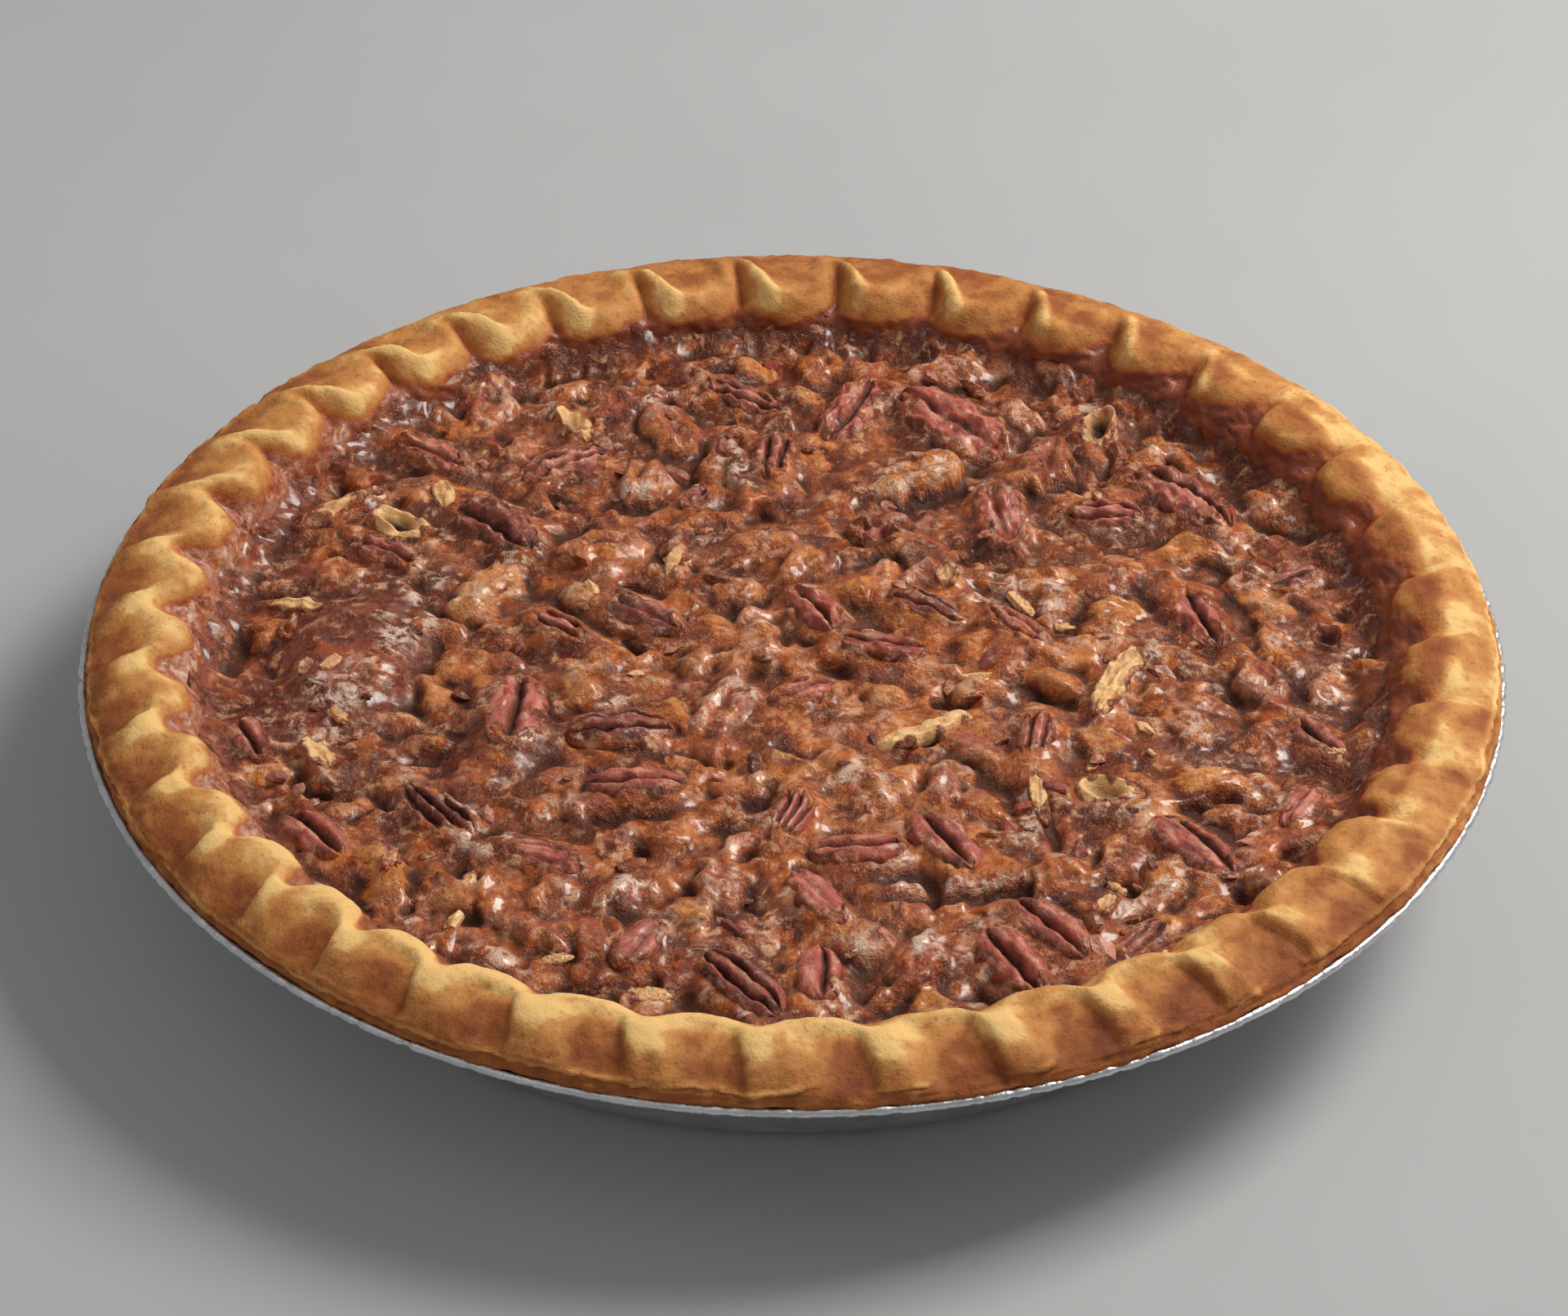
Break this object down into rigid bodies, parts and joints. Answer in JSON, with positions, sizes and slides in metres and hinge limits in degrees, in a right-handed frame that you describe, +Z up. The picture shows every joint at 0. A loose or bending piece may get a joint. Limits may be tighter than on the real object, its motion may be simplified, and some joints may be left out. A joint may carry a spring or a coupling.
{
  "type": "pecan pie",
  "caption": "Round uncut pecan pie with a crimped golden crust, a glossy filling with nuts in it and its own foil tin.",
  "frame": {"origin": "middle of the tin's flat base, on its underside", "axes": "+Z up through the pie, from the base to the rim; +Y away from the viewer, +X to the right"},
  "size_m": [0.2616, 0.2616, 0.0396],
  "materials": {
    "foil": "bright, finely wrinkled foil",
    "pastry": "matte baked pastry",
    "filling": "glossy baked caramel",
    "nut_skin": "satin, glazed in places",
    "nut_flesh": "matte"
  },
  "bodies": {
    "root": {"tin": "foil", "crust": "pastry", "filling": "filling", "pecan_half_01": "nut_skin", "pecan_half_02": "nut_skin", "pecan_cup_03": "nut_flesh", "pecan_half_04": "nut_skin", "pecan_chip_05": "nut_flesh", "pecan_cup_06": "nut_flesh", "pecan_half_07": "nut_skin", "pecan_sliver_08": "nut_flesh", "pecan_sliver_09": "nut_flesh", "pecan_half_10": "nut_skin", "pecan_half_11": "nut_skin", "pecan_chip_12": "nut_flesh", "pecan_half_13": "nut_skin", "pecan_half_14": "nut_skin", "pecan_half_15": "nut_skin", "pecan_half_16": "nut_skin", "pecan_cup_17": "nut_flesh", "pecan_half_18": "nut_skin", "pecan_half_19": "nut_skin", "pecan_half_20": "nut_skin", "pecan_chip_21": "nut_flesh", "pecan_chip_22": "nut_flesh", "pecan_half_23": "nut_skin", "pecan_half_24": "nut_skin", "pecan_cup_25": "nut_flesh", "pecan_half_26": "nut_skin", "pecan_half_27": "nut_skin", "pecan_half_28": "nut_skin", "pecan_half_29": "nut_skin", "pecan_sliver_30": "nut_flesh", "pecan_sliver_31": "nut_flesh", "pecan_half_32": "nut_skin", "pecan_half_33": "nut_skin", "pecan_cup_34": "nut_flesh", "pecan_sliver_35": "nut_flesh", "pecan_half_36": "nut_skin", "pecan_half_37": "nut_skin", "pecan_half_38": "nut_skin", "pecan_half_39": "nut_skin", "pecan_half_40": "nut_skin", "pecan_half_41": "nut_skin", "pecan_half_42": "nut_skin", "pecan_half_43": "nut_skin", "pecan_half_44": "nut_skin", "pecan_half_45": "nut_skin", "pecan_chip_46": "nut_flesh", "pecan_half_47": "nut_skin", "pecan_half_48": "nut_skin", "pecan_half_49": "nut_skin", "pecan_half_50": "nut_skin", "pecan_half_51": "nut_skin", "pecan_half_52": "nut_skin", "pecan_half_53": "nut_skin", "pecan_half_54": "nut_skin", "pecan_chip_55": "nut_flesh", "pecan_half_56": "nut_skin", "pecan_half_57": "nut_skin"}
  },
  "joints": []
}
